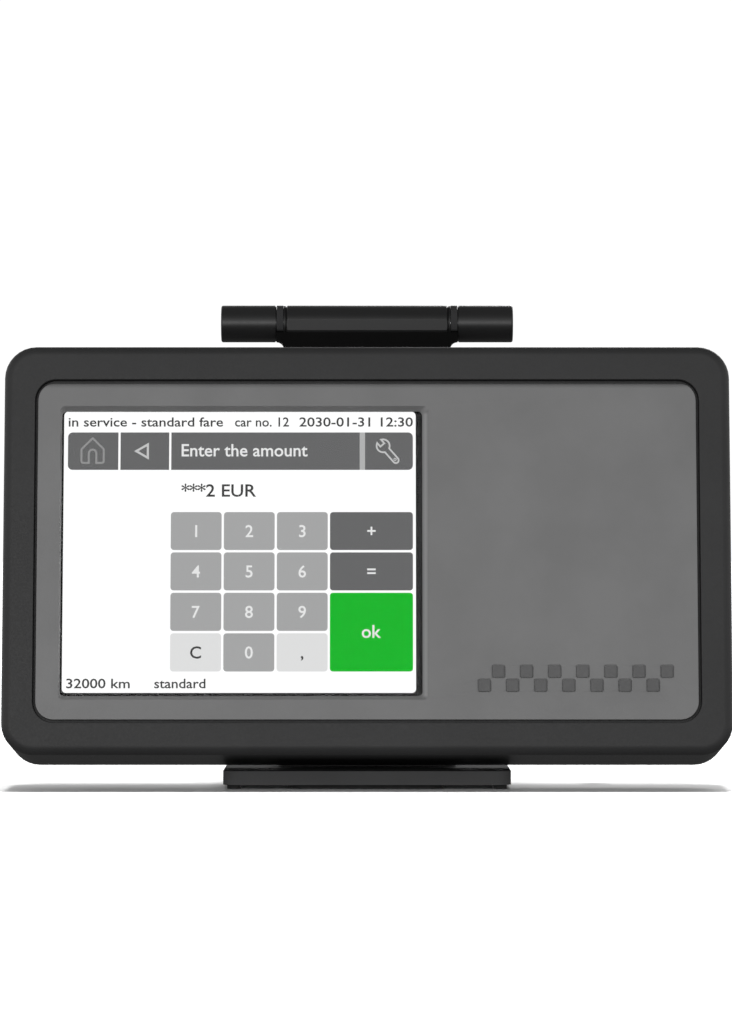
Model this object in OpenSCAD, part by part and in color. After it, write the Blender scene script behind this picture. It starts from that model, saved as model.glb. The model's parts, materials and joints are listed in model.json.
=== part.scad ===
// In-car taxi meter with a touch screen, hung from a tilting hinge on a low stand.
// Millimetres. X to the right, Y to the back, Z up. The origin is on the surface that the
// stand rests on, at the middle of its base, and the screen faces -Y.

/* [Case] */
// Width of the case
case_w = 182.4; // [181:0.2:188]
// Height of the case
case_h = 103.2; // [103:0.2:108]
// Depth of the case from its front rim to its back
case_d = 32; // [31:0.5:36]
// Corner radius of the case seen from the front
case_r = 8; // [7:0.5:9]
// Wall thickness of the front housing and the rear cover
wall = 2.4; // [2:0.1:2.8]
// Rounding of the front edge
front_edge_r = 2.4; // [1:0.1:2.4]
// Rounding of the rear edge
rear_edge_r = 3; // [1:0.1:3.4]
// Depth of the rear cover, from the parting line to the back
cover_d = 12; // [11.5:0.5:13]

/* [Front panel] */
// Width of the lighter front panel
panel_w = 165.1; // [164.6:0.1:166]
// Height of the front panel
panel_h = 85; // [84.6:0.1:85.2]
// Place of the panel's middle above the middle of the case
panel_z = -0.35; // [-0.5:0.05:-0.2]
// Corner radius of the front panel
panel_r = 4.5; // [3:0.1:6]
// Thickness of the front panel
panel_t = 1.8; // [1.5:0.1:2]
// Width of the groove all round the front panel
groove = 0.8; // [0.6:0.1:1.2]
// How far the panel face sits behind the rim
panel_set = 0.3; // [0.1:0.1:0.6]
// Width of the window in the panel
window_w = 90.5; // [90:0.1:91]
// Height of the window in the panel
window_h = 72; // [71.8:0.1:72.4]
// Corner radius of the window
window_r = 1.2; // [0.8:0.1:2]
// Place of the window's middle across the case
window_x = -31.4; // [-31.6:0.1:-31.2]
// Place of the window's middle above the middle of the case
window_z = -0.9; // [-1.1:0.1:-0.8]
// Size of one raised square of the trim
trim_square = 2.9; // [2:0.1:3]
// Pitch of the raised trim squares
trim_pitch = 3.5; // [3.5:0.1:3.7]

/* [Display] */
// Thickness of the touch glass
glass_t = 1.1; // [0.7:0.1:1.4]
// Width of the lit picture
picture_w = 88.5; // [87:0.1:88.8]
// Height of the lit picture
picture_h = 71.2; // [70:0.1:71.4]
// Place of the picture's middle across the case
picture_x = -32; // [-32.3:0.1:-31.7]
// Place of the picture's middle above the middle of the case
picture_z = -0.25; // [-0.35:0.05:-0.15]

/* [Electronics] */
// Width of the main board
board_w = 150; // [144:1:152]
// Height of the main board
board_h = 78; // [76:1:79]
// Thickness of the main board
board_t = 1.6; // [1.2:0.1:1.8]
// Diameter of the backup cell
cell_d = 20; // [16:0.5:20]

/* [Hinge] */
// Diameter of the hinge barrel
barrel_d = 9.6; // [9.2:0.05:10]
// Length of the hinge barrel over both tension knobs
barrel_l = 76; // [72:0.2:80]
// Length of the stand's head between the friction washers
head_l = 42.4; // [41.6:0.2:42.8]
// Thickness of each hanger ear
ear_t = 1.7; // [1.5:0.1:1.9]
// Diameter of the axle
axle_d = 4; // [3.5:0.1:4.4]
// Running clearance between a turning part and the axle, on the radius
run_gap = 0.05; // [0.02:0.01:0.1]
// Height of the hinge axis above the top of the case
hinge_rise = 13.25; // [13:0.05:14]
// Distance of the hinge axis behind the back of the case
hinge_back = 8; // [8:0.1:9]
// Width of the hanger plate
hanger_w = 43.2; // [42.6:0.1:43.4]
// Thickness of the hanger plate
hanger_t = 2.7; // [2.4:0.1:2.8]
// Length of the hanger plate down the back of the case
hanger_drop = 39; // [38:1:42]
// Angle that the case leans back at rest
lean = 8; // [6:0.5:10]

/* [Stand] */
// Width of the base plate
base_w = 72.5; // [72:0.5:80]
// Depth of the base plate
base_d = 77; // [76:1:84]
// Thickness of the base plate
base_t = 3.5; // [3.2:0.1:3.8]
// Corner radius of the base plate
base_r = 4; // [2:0.5:6]
// Thickness of the rubber pads under the base
pad_t = 1.1; // [1:0.1:1.4]
// Space between the lowest edge of the case and the base plate
case_gap = 0.3; // [0.3:0.1:3]
// Place of the hinge axis behind the middle of the base
hinge_y = 6; // [5:0.5:8]
// Width of the arm
arm_w = 39.2; // [38:0.2:39.6]
// Thickness of the arm
arm_t = 5; // [4.6:0.1:5.2]
// Distance between the mounting holes, side to side
bolt_x = 52; // [50:1:54]
// Distance between the mounting holes, front to back
bolt_y = 62; // [60:1:64]
// Diameter of the mounting holes
bolt_d = 4.5; // [4:0.1:5]

/* [Hidden] */

$fn = 64;
hull_fn = 32;
eps = 0.01;

// Depths in the case, measured forward from its back face
front_y = -case_d;
parting_y = -cover_d;
panel_front_y = front_y + panel_set;
panel_back_y = panel_front_y + panel_t;
ledge_t = 2.9;
ledge_back_y = panel_back_y + ledge_t;
ledge_in = 2.1;
ledge_r = 1.5;
opening_w = panel_w + 2 * groove;
opening_h = panel_h + 2 * groove;
opening_r = panel_r + groove;
inner_w = case_w - 2 * wall;
inner_h = case_h - 2 * wall;
inner_r = case_r - wall;

// Display stack
window_chamfer = 1.2;
window_flare = [0.3, 1.6, 1, 1.15];
brow_r = 1.4;
trim_r = 0.3;
trim_gap = 0.25;
trim_sink = 0.4;
trim_proud = 0.25;
gasket_t = 0.4;
glass_lap = 1.5;
glass_w = window_w + 2 * glass_lap;
glass_h = window_h + 2 * glass_lap;
glass_r = 1.5;
glass_y = panel_back_y + gasket_t;
frame_y = glass_y + glass_t;
frame_t = 0.4;
cell_y = frame_y + frame_t;
lcd_w = picture_w + 5.7;
lcd_h = picture_h + 5;
lcd_t = 1.6;
light_y = cell_y + lcd_t;
light_w = picture_w + 6.1;
light_h = picture_h + 5.4;
light_t = 4;
frame_wall = 0.5;
frame_slack = 0.4;
frame_r = 1.5;
frame_lip = 0.8;
frame_w = light_w + 2 * frame_wall + frame_slack;
frame_h = light_h + 2 * frame_wall + frame_slack;
light_back_y = light_y + light_t;

// Rear cover, board and connectors
screw_x = case_w / 2 - 6.5;
screw_mid_x = 45;
screw_z = case_h / 2 - 6.5;
screw_at = [for (sx = [-1, 1], sz = [-1, 1], px = [screw_x, screw_mid_x]) [sx * px, sz * screw_z]];
boss_r = 4.4;
screw_r = 1.5;
screw_head_r = 2.75;
screw_head_t = 2.2;
screw_head_y = -1.4;
screw_reach = 17;
sink_r = 3.1;
boss_drill = 12;
cord_out = 0.3 * wall;
cord_in = 0.7 * wall;
cord_half = 0.6;
board_gap = 9;
board_r = 2;
board_back_y = -board_gap;
board_front_y = board_back_y - board_t;
cell_at = [46, 6];
cell_t = 3.2;
cell_seat = 0.6;
post_x = 71.5;
post_z = 33;
post_at = [for (sx = [-1, 1], sz = [-1, 1]) [sx * post_x, sz * post_z]];
post_r = 3;
board_screw_r = 1.25;
board_hole_r = 1.45;
hanger_boss_y = board_back_y + 1.5;
port_z = -31;
port_slack = 0.3;
port_r = 1;
io_x = -47;
io_w = 39;
io_h = 12;
power_x = 40;
power_w = 15;
power_h = 11;
port_out = 2.5;
antenna_x = 58;
antenna_bush_r = 3.6;
antenna_hole_r = antenna_bush_r + 0.05;
antenna_nut_t = 2;
seal_at = [[screw_x, -screw_z], [-screw_x, -screw_z]];

// Hinge: the stand's head, then washer, ear, spring and knob outwards along the axle
barrel_r = barrel_d / 2;
axle_r = axle_d / 2;
head_x = head_l / 2;
washer_t = 0.5;
slip = 0.1;
ear_x0 = head_x + washer_t + slip;
ear_x1 = ear_x0 + ear_t;
spring_t = 1;
spring_r = 3.8;
spring_seat_r = spring_r + 0.3;
spring_x0 = ear_x1 + slip / 2;
knob_x0 = ear_x1 + 1.5 * slip;
knob_x1 = barrel_l / 2;
knob_edge_r = 0.5;
socket_depth = 3;
socket_across = 3;
axle_x = knob_x1 - socket_depth - 1.2;
web_top = -3.7;
hanger_bolt_x = 14;
hanger_bolt_z = [-43, -21];
csk_r = 2.9;

// Stand
base_top = pad_t + base_t;
case_bottom = hinge_rise + case_h;
case_low = case_bottom * cos(lean) - hinge_back * sin(lean);
hinge_z = base_top + case_gap + case_low;
arm_y0 = -1.8;
arm_foot_w = 46;
flange_y0 = -14;
flange_y1 = 21;
flange_t = 5;
rib_t = 4;
rib_x = 15;
stop_z = -46;
arm_bolt_x = 14;
arm_bolt_y = [-1, 14];
arm_screw_r = 2;
arm_screw_head_r = 3.9;
arm_screw_skin = 1;
arm_screw_end = 0.2;
mat_w = 38.6;
rail_w = 3.4;
rail_x = 33.5;
pad_inset = 2.5;

// Rounded rectangle, centred
module round_rect(w, h, r) {
    square([w - 2 * r, h], center = true);
    square([w, h - 2 * r], center = true);
    for (sx = [-1, 1], sy = [-1, 1])
        translate([sx * (w / 2 - r), sy * (h / 2 - r)])
            circle(r);
}

// Upright rounded slab that reaches from depth y0 back to depth y1
module slab(w, h, r, y0, y1) {
    translate([0, y1, 0])
        rotate([90, 0, 0])
            linear_extrude(y1 - y0)
                round_rect(w, h, r);
}

// Upright block with square corners, centred in X and Z, from depth y0 to y1
module block(w, h, y0, y1) {
    translate([-w / 2, y0, -h / 2])
        cube([w, y1 - y0, h]);
}

// Round bar along Y
module bar_y(r, y0, y1) {
    translate([0, y1, 0])
        rotate([90, 0, 0])
            cylinder(r = r, h = y1 - y0);
}

// Round bar along X
module bar_x(r, x0, x1) {
    translate([x0, 0, 0])
        rotate([0, 90, 0])
            cylinder(r = r, h = x1 - x0);
}

// Places children, drawn about the hinge axis, at the hinge and at the resting lean
module at_hinge() {
    translate([0, hinge_y, hinge_z])
        rotate([-lean, 0, 0])
            children();
}

// Places children, drawn about the middle of the case's back face
module at_case() {
    at_hinge()
        translate([0, -hinge_back, -hinge_rise - case_h / 2])
            children();
}

// Repeats children at each [x, z] place of a list
module each_xz(places) {
    for (p = places)
        translate([p[0], 0, p[1]])
            children();
}

// Solid outer form of the case from the parting line to one face, its edge rounded by r
module case_form(y_face, r) {
    inward = y_face < parting_y ? 1 : -1;
    hull() {
        slab(case_w, case_h, case_r, min(parting_y, y_face + inward * r), max(parting_y, y_face + inward * r),
            $fn = hull_fn);
        for (sx = [-1, 1], sz = [-1, 1])
            translate([sx * (case_w / 2 - case_r), y_face + inward * r, sz * (case_h / 2 - case_r)])
                rotate([90, 0, 0])
                    rotate_extrude($fn = hull_fn)
                        translate([case_r - r, 0])
                            circle(r, $fn = hull_fn);
    }
}

// Closed ring of the case outline, inset by a and b from the outside
module outline_ring(a, b, y0, y1) {
    difference() {
        slab(case_w - 2 * a, case_h - 2 * a, case_r - a, y0, y1);
        slab(case_w - 2 * b, case_h - 2 * b, case_r - b, y0 - eps, y1 + eps);
    }
}

// Front half of the case: rim, ledge for the panel, side walls and screw bosses
module front_housing() {
    color([0.06, 0.06, 0.065])
        at_case()
            difference() {
                union() {
                    difference() {
                        case_form(front_y, front_edge_r);
                        slab(inner_w, inner_h, inner_r, ledge_back_y, 1);
                    }
                    each_xz(screw_at)
                        bar_y(boss_r, ledge_back_y - eps, parting_y);
                }
                translate([0, 0, panel_z]) {
                    slab(opening_w, opening_h, opening_r, front_y - 1, panel_back_y);
                    slab(panel_w - 2 * ledge_in, panel_h - 2 * ledge_in, ledge_r, front_y,
                        ledge_back_y + eps);
                }
                outline_ring(cord_out, cord_in, parting_y - cord_half, 1);
                each_xz(screw_at)
                    bar_y(screw_r, parting_y - boss_drill, 1);
            }
}

// Window through the panel: straight at the back and flared towards the front
module window_form() {
    flare_w = window_flare[0] + window_flare[1];
    flare_h = window_flare[2] + window_flare[3];
    bend_y = panel_front_y + window_chamfer;
    hull()
        slab(window_w, window_h, window_r, bend_y - eps, panel_back_y + 1, $fn = hull_fn);
    hull() {
        slab(window_w, window_h, window_r, bend_y - eps, bend_y, $fn = hull_fn);
        translate([(window_flare[1] - window_flare[0]) / 2, 0, (window_flare[3] - window_flare[2]) / 2])
            slab(window_w + flare_w, window_h + flare_h, window_r, panel_front_y - eps, panel_front_y,
                $fn = hull_fn);
    }
}

// Places of the raised trim squares, in two rows that alternate like a chequered band
module each_trim_place() {
    columns = 14;
    middle_x = 52;
    middle_z = -32.6;
    for (i = [0 : columns - 1])
        translate([
            middle_x + (i - (columns - 1) / 2) * trim_pitch,
            0,
            middle_z + (i % 2 - 0.5) * trim_pitch
        ])
            children();
}

// What rounds off the panel's upper front edge
module panel_brow() {
    translate([0, panel_front_y, panel_z + panel_h / 2])
        difference() {
            translate([-panel_w, -1, -brow_r])
                cube([2 * panel_w, 1 + brow_r, 1 + brow_r]);
            translate([0, brow_r, -brow_r])
                bar_x(brow_r, -panel_w - 1, panel_w + 1);
        }
}

// Lighter front panel with the window for the screen
module front_panel() {
    color([0.18, 0.18, 0.185])
        at_case()
            difference() {
                translate([0, 0, panel_z])
                    slab(panel_w, panel_h, panel_r, panel_front_y, panel_back_y);
                translate([window_x, 0, window_z])
                    window_form();
                each_trim_place()
                    slab(trim_square + 2 * trim_gap, trim_square + 2 * trim_gap, trim_r + trim_gap,
                        panel_front_y - 1, panel_front_y + trim_sink);
                panel_brow();
            }
}

// Raised chequered trim on the right of the panel, each square in its own shallow pocket
module trim_squares() {
    color([0.17, 0.17, 0.175])
        at_case()
            each_trim_place()
                slab(trim_square, trim_square, trim_r, panel_front_y - trim_proud, panel_front_y + trim_sink);
}

// Foam ring between the panel and the touch glass
module window_gasket() {
    color([0.03, 0.03, 0.03])
        at_case()
            translate([window_x, 0, window_z])
                difference() {
                    slab(glass_w, glass_h, glass_r, panel_back_y, glass_y);
                    slab(window_w, window_h, window_r, panel_back_y - 1, 1);
                }
}

// Touch glass behind the window
module touch_glass() {
    color([0.75, 0.8, 0.82, 0.5])
        at_case()
            translate([window_x, 0, window_z])
                slab(glass_w, glass_h, glass_r, glass_y, frame_y);
}

// Liquid crystal cell that shows the picture
module lcd_cell() {
    color([0.92, 0.93, 0.94])
        at_case()
            translate([picture_x, 0, picture_z])
                block(lcd_w, lcd_h, cell_y, light_y);
}

// Pressed steel frame round the cell and its light
module lcd_frame() {
    color([0.62, 0.63, 0.64])
        at_case()
            translate([picture_x, 0, picture_z])
                difference() {
                    slab(frame_w, frame_h, frame_r, frame_y, light_back_y);
                    slab(frame_w - 2 * frame_wall, frame_h - 2 * frame_wall, frame_r - frame_wall, cell_y, 1);
                    block(picture_w + 2 * frame_lip, picture_h + 2 * frame_lip, frame_y - 1, 1);
                }
}

// Light unit behind the cell
module backlight_unit() {
    color([0.9, 0.9, 0.88])
        at_case()
            translate([picture_x, 0, picture_z])
                slab(light_w, light_h, frame_r - frame_wall, light_y, light_back_y);
}

// Flat ribbon that turns back from the display to the board
module display_ribbon() {
    ribbon_w = 16;
    ribbon_t = 0.3;
    ribbon_z = -12;
    tail = 9;
    turn_r = (board_front_y - light_back_y) / 2;
    color([0.75, 0.5, 0.2])
        at_case()
            translate([picture_x - ribbon_w / 2, light_back_y + turn_r, ribbon_z])
                rotate([90, 0, 90])
                    linear_extrude(ribbon_w) {
                        difference() {
                            circle(turn_r);
                            circle(turn_r - ribbon_t);
                            translate([-2 * turn_r, 0])
                                square(4 * turn_r);
                        }
                        for (y0 = [-turn_r, turn_r - ribbon_t])
                            translate([y0, -eps])
                                square([ribbon_t, tail]);
                    }
}

// Main board on the posts of the rear cover
module main_board() {
    color([0.03, 0.22, 0.1])
        at_case()
            difference() {
                slab(board_w, board_h, board_r, board_front_y, board_back_y);
                each_xz(post_at)
                    bar_y(board_hole_r, board_front_y - 1, 1);
            }
}

// Pressed shield over the processor
module processor_shield() {
    shield_at = [[8, 8]];
    shield_w = 34;
    shield_h = 3.4;
    shield_r = 1.5;
    shield_wall = 0.4;
    inside = shield_w - 2 * shield_wall;
    top_y = board_front_y - shield_h;
    color([0.7, 0.71, 0.72])
        at_case()
            each_xz(shield_at)
                difference() {
                    slab(shield_w, shield_w, shield_r, top_y, board_front_y);
                    slab(inside, inside, shield_r - shield_wall, top_y + shield_wall, board_front_y + 1);
                }
}

// Holder of the backup cell
module battery_holder() {
    holder_r = cell_d / 2 + 1.2;
    holder_h = cell_seat + 0.8 * cell_t;
    color([0.1, 0.1, 0.1])
        at_case()
            each_xz([cell_at])
                difference() {
                    bar_y(holder_r, board_front_y - holder_h, board_front_y);
                    bar_y(cell_d / 2, board_front_y - cell_seat - cell_t, board_front_y - cell_seat);
                }
}

// Coin cell that keeps the clock and the fare memory
module backup_cell() {
    color([0.75, 0.75, 0.73])
        at_case()
            each_xz([cell_at])
                bar_y(cell_d / 2, board_front_y - cell_seat - cell_t, board_front_y - cell_seat);
}

// Round sounder on the board
module buzzer() {
    sounder_at = [[58, -18]];
    sounder_r = 6;
    sounder_h = 4;
    sounder_floor = 1;
    hole_r = 1;
    color([0.05, 0.05, 0.05])
        at_case()
            each_xz(sounder_at)
                difference() {
                    bar_y(sounder_r, board_front_y - sounder_h, board_front_y);
                    bar_y(hole_r, board_front_y - sounder_h - 1, board_front_y - sounder_floor);
                }
}

// Four screws that hold the board on its posts
module board_screws() {
    head_r = 2.3;
    head_t = 1.5;
    length = 5;
    color([0.75, 0.75, 0.76])
        at_case()
            each_xz(post_at) {
                bar_y(head_r, board_front_y - head_t, board_front_y);
                bar_y(board_screw_r, board_front_y - eps, board_front_y + board_t + length);
            }
}

// One row of vent slots
module vent_rows() {
    rows = 5;
    row_pitch = 5;
    lowest_z = 12;
    vent_x = 54;
    vent_w = 26;
    vent_h = 2;
    for (sx = [-1, 1], i = [0 : rows - 1])
        translate([sx * vent_x, 0, lowest_z + row_pitch * i])
            slab(vent_w, vent_h, vent_h / 2 - eps, -wall - 1, 1);
}

// Rear cover with its bosses, posts, vents and connector openings
module rear_cover() {
    color([0.06, 0.06, 0.065])
        at_case()
            difference() {
                union() {
                    difference() {
                        case_form(0, rear_edge_r);
                        slab(inner_w, inner_h, inner_r, parting_y - 1, -wall);
                    }
                    each_xz(screw_at)
                        bar_y(boss_r, parting_y, -wall + eps);
                    each_xz(post_at)
                        bar_y(post_r, board_back_y, -wall + eps);
                    hanger_holes(post_r, hanger_boss_y, -wall + eps);
                }
                outline_ring(cord_out, cord_in, parting_y - 1, parting_y + cord_half);
                each_xz(screw_at) {
                    bar_y(screw_r, parting_y - 1, 1);
                    bar_y(sink_r, screw_head_y - screw_head_t, 1);
                }
                each_xz(post_at)
                    bar_y(board_screw_r, board_back_y - 1, -wall - 1);
                hanger_holes(screw_r, board_back_y, 1);
                vent_rows();
                each_xz([[io_x, port_z]])
                    port_hole(io_w, io_h);
                each_xz([[power_x, port_z]])
                    port_hole(power_w, power_h);
                each_xz([[antenna_x, port_z]])
                    bar_y(antenna_hole_r, -wall - 1, 1);
            }
}

// Hole in the rear cover for a socket, with a little room all round
module port_hole(w, h) {
    slab(w + 2 * port_slack, h + 2 * port_slack, port_r + port_slack, -wall - 1, 1);
}

// Bars at the four screw places of the hanger plate
module hanger_holes(r, y0, y1) {
    for (sx = [-1, 1], z = hanger_bolt_z)
        translate([sx * hanger_bolt_x, 0, z + hinge_rise + case_h / 2])
            bar_y(r, y0, y1);
}

// Rubber cord in the joint between the two halves of the case
module case_gasket() {
    color([0.02, 0.02, 0.02])
        at_case()
            outline_ring(cord_out, cord_in, parting_y - cord_half, parting_y + cord_half);
}

// Eight screws that close the case
module case_screws() {
    recess_r = 1.4;
    recess_d = 1.3;
    neck_y = screw_head_y - screw_head_t;
    color([0.3, 0.3, 0.32])
        at_case()
            each_xz(screw_at)
                difference() {
                    union() {
                        bar_y(screw_head_r, neck_y, screw_head_y);
                        bar_y(screw_r, neck_y - screw_reach, neck_y + eps);
                    }
                    bar_y(recess_r, screw_head_y - recess_d, screw_head_y + 1, $fn = 6);
                }
}

// Caps that seal the two lower case screws
module seal_caps() {
    cap_r = sink_r - 0.1;
    cap_top_y = -0.2;
    color([0.7, 0.1, 0.08])
        at_case()
            each_xz(seal_at)
                bar_y(cap_r, screw_head_y, cap_top_y);
}

// Socket set in the rear cover: a shell with rows of pins in its cavity
module socket_block(w, h, lip, columns, rows, pitch) {
    pin_w = 0.8;
    pin_root = 0.5;
    pin_tip_y = port_out - 1.5;
    cavity_y = -4;
    cavity_r = 0.8;
    difference() {
        slab(w, h, port_r, board_back_y, port_out);
        slab(w - 2 * lip, h - 2 * lip, cavity_r, cavity_y, port_out + 1);
    }
    for (i = [0 : columns - 1], j = [0 : rows - 1])
        translate([(i - (columns - 1) / 2) * pitch, 0, (j - (rows - 1) / 2) * pitch])
            block(pin_w, pin_w, cavity_y - pin_root, pin_tip_y);
}

// Data and printer socket
module io_connector() {
    lip = 0.9;
    pin_pitch = 4;
    color([0.6, 0.6, 0.62])
        at_case()
            each_xz([[io_x, port_z]])
                socket_block(io_w, io_h, lip, 8, 2, pin_pitch);
}

// Power inlet
module power_inlet() {
    lip = 1.2;
    pin_pitch = 4.5;
    color([0.05, 0.05, 0.05])
        at_case()
            each_xz([[power_x, port_z]])
                socket_block(power_w, power_h, lip, 2, 2, pin_pitch);
}

// Aerial socket: flange inside, bush through the cover, relief, then the thread for the plug
module antenna_socket() {
    flange_w = 9;
    flange_front_y = -wall - 0.1;
    bush_y = antenna_nut_t + 0.4;
    relief_r = 2.9;
    thread_r = 3.15;
    thread_y0 = 3;
    thread_y1 = 9;
    tip = 0.4;
    bore_r = 2.2;
    bore_y = 4;
    contact_r = 0.65;
    contact_y = 8.4;
    color([0.8, 0.62, 0.3])
        at_case()
            each_xz([[antenna_x, port_z]]) {
                difference() {
                    union() {
                        block(flange_w, flange_w, board_back_y, flange_front_y);
                        bar_y(antenna_bush_r, flange_front_y - eps, bush_y);
                        bar_y(relief_r, bush_y - eps, thread_y0 + eps);
                        bar_y(thread_r, thread_y0, thread_y1);
                        translate([0, thread_y1 - eps, 0])
                            rotate([-90, 0, 0])
                                cylinder(r1 = thread_r, r2 = thread_r - tip, h = tip);
                    }
                    bar_y(bore_r, bore_y, thread_y1 + 1);
                }
                bar_y(contact_r, bore_y - eps, contact_y);
            }
}

// Hexagon nut of the aerial socket
module antenna_nut() {
    across = 10;
    color([0.8, 0.62, 0.3])
        at_case()
            each_xz([[antenna_x, port_z]])
                difference() {
                    bar_y(across / sqrt(3), 0, antenna_nut_t, $fn = 6);
                    bar_y(antenna_hole_r, -1, antenna_nut_t + 1);
                }
}

// Blank type plate on the back
module rating_plate() {
    plate_at = [[-52, -8]];
    plate_w = 42;
    plate_h = 20;
    plate_r = 1.5;
    plate_t = 0.4;
    color([0.7, 0.7, 0.71])
        at_case()
            each_xz(plate_at)
                slab(plate_w, plate_h, plate_r, 0, plate_t);
}

// Point of the hinge frame, given behind and above the axis, as [y, z] of the whole object
function placed(y, z) = [
    hinge_y + y * cos(lean) + z * sin(lean),
    hinge_z - y * sin(lean) + z * cos(lean)
];

// Angle at which a line from point p touches the barrel's circle
function touch_angle(p) = atan2(p[1], p[0]) + acos(barrel_r / norm(p));

// Point on the barrel's circle at an angle
function on_barrel(angle) = [barrel_r * cos(angle), barrel_r * sin(angle)];

// Lays a drawing of [y, z] points as a plate from x0 to x1
module side_plate(x0, x1) {
    translate([x0, 0, 0])
        rotate([90, 0, 90])
            linear_extrude(x1 - x0)
                children();
}

// Outline of the hanger plate: a straight neck that widens to the ears at its top
module hanger_outline() {
    foot_r = 4;
    band_h = 2.2;
    flare = ear_x1 - hanger_w / 2;
    bottom_z = -hinge_rise - hanger_drop;
    translate([-hanger_w / 2, bottom_z + foot_r])
        square([hanger_w, web_top - bottom_z - foot_r]);
    translate([-hanger_w / 2 + foot_r, bottom_z])
        square([hanger_w - 2 * foot_r, 2 * foot_r]);
    for (sx = [-1, 1]) {
        translate([sx * (hanger_w / 2 - foot_r), bottom_z + foot_r])
            circle(foot_r);
        translate([sx * (hanger_w / 2 + flare / 2 - eps), web_top - (band_h + flare) / 2])
            difference() {
                square([flare + 2 * eps, band_h + flare], center = true);
                translate([sx * (flare / 2 + eps), -(band_h + flare) / 2])
                    circle(flare);
            }
    }
}

// Side view of one ear: a disc round the axle that runs down into the plate
module ear_outline() {
    root_h = 2.2;
    top_front = [-hinge_back, web_top];
    low_back = [-hinge_back + hanger_t, web_top - root_h];
    circle(barrel_r);
    polygon([
        [-hinge_back, low_back[1]],
        top_front,
        on_barrel(180 - asin(web_top / barrel_r)),
        [0, 0],
        on_barrel(touch_angle(low_back)),
        low_back
    ]);
}

// Plate on the back of the case with the two ears that turn on the axle
module hanger_plate() {
    color([0.02, 0.02, 0.022])
        at_hinge()
            difference() {
                union() {
                    translate([0, -hinge_back + hanger_t, 0])
                        rotate([90, 0, 0])
                            linear_extrude(hanger_t)
                                hanger_outline();
                    for (x0 = [ear_x0, -ear_x1])
                        side_plate(x0, x0 + ear_t)
                            ear_outline();
                }
                bar_x(axle_r + run_gap, -ear_x1 - 1, ear_x1 + 1);
                for (sx = [-1, 1], z = hanger_bolt_z)
                    translate([sx * hanger_bolt_x, -hinge_back + hanger_t, z])
                        rotate([90, 0, 0]) {
                            translate([0, 0, -1])
                                cylinder(r = screw_r, h = hanger_t + 2);
                            cylinder(r1 = csk_r, r2 = screw_r, h = csk_r - screw_r);
                        }
            }
}

// Four countersunk screws of the hanger plate
module hanger_screws() {
    length = 9;
    drive_r = 1.1;
    drive_d = 0.9;
    color([0.35, 0.35, 0.37])
        at_hinge()
            for (sx = [-1, 1], z = hanger_bolt_z)
                translate([sx * hanger_bolt_x, -hinge_back + hanger_t, z])
                    rotate([90, 0, 0])
                        difference() {
                            union() {
                                cylinder(r1 = csk_r, r2 = screw_r, h = csk_r - screw_r);
                                cylinder(r = screw_r, h = length);
                            }
                            translate([0, 0, -1])
                                cylinder(r = drive_r, h = drive_d + 1, $fn = 6);
                        }
}

// Axle pressed into the stand's head
module hinge_axle() {
    color([0.7, 0.71, 0.72])
        at_hinge()
            bar_x(axle_r, -axle_x, axle_x);
}

// Flat ring on the axle between two places
module axle_ring(r, x0, x1) {
    difference() {
        bar_x(r, x0, x1);
        bar_x(axle_r, x0 - 1, x1 + 1);
    }
}

// Nylon washers between the head and the ears
module friction_washers() {
    washer_r = barrel_r - 0.1;
    color([0.85, 0.85, 0.82])
        at_hinge()
            for (x0 = [head_x, -head_x - washer_t])
                axle_ring(washer_r, x0, x0 + washer_t);
}

// Spring washers that the tension knobs press on
module disc_springs() {
    color([0.65, 0.66, 0.68])
        at_hinge()
            for (x0 = [spring_x0, -spring_x0 - spring_t])
                axle_ring(spring_r, x0, x0 + spring_t);
}

// Knob on one end of the axle, with a key socket in its end
module tension_knob() {
    length = knob_x1 - knob_x0;
    inner_edge = 0.25;
    axle_room = 0.3;
    spring_room = 1.5 * slip;
    difference() {
        translate([knob_x0, 0, 0])
            rotate([0, 90, 0])
                rotate_extrude() {
                    translate([0, inner_edge])
                        square([barrel_r, length - knob_edge_r - inner_edge]);
                    square([barrel_r - inner_edge, length / 2]);
                    translate([0, length / 2])
                        square([barrel_r - knob_edge_r, length / 2]);
                    intersection() {
                        translate([barrel_r - knob_edge_r, length - knob_edge_r])
                            circle(knob_edge_r);
                        translate([barrel_r - knob_edge_r, length - knob_edge_r])
                            square(knob_edge_r);
                    }
                }
        bar_x(axle_r + run_gap, knob_x0 - 1, axle_x + axle_room);
        bar_x(spring_seat_r, knob_x0 - 1, spring_x0 + spring_t + spring_room);
        bar_x(socket_across / sqrt(3), knob_x1 - socket_depth, knob_x1 + 1, $fn = 6);
    }
}

// Tension knob on the left end of the barrel
module tension_knob_left() {
    color([0.015, 0.015, 0.016])
        at_hinge()
            mirror([1, 0, 0])
                tension_knob();
}

// Tension knob on the right end of the barrel
module tension_knob_right() {
    color([0.015, 0.015, 0.016])
        at_hinge()
            tension_knob();
}

// Head of the stand: the middle of the barrel, with a flat on its front
module stand_head() {
    bevel = 0.5;
    flat_at = barrel_r - 0.22;
    flat_turn = 13;
    cut = 2;
    difference() {
        union() {
            bar_x(barrel_r, -head_x + bevel, head_x - bevel);
            for (turn = [0, 180])
                rotate([0, 0, turn])
                    translate([head_x - bevel - eps, 0, 0])
                        rotate([0, 90, 0])
                            cylinder(r1 = barrel_r, r2 = barrel_r - bevel, h = bevel + eps);
        }
        rotate([flat_turn, 0, 0])
            translate([-head_l, -flat_at - cut, -barrel_r])
                cube([2 * head_l, cut, 2 * barrel_r]);
    }
}

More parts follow.
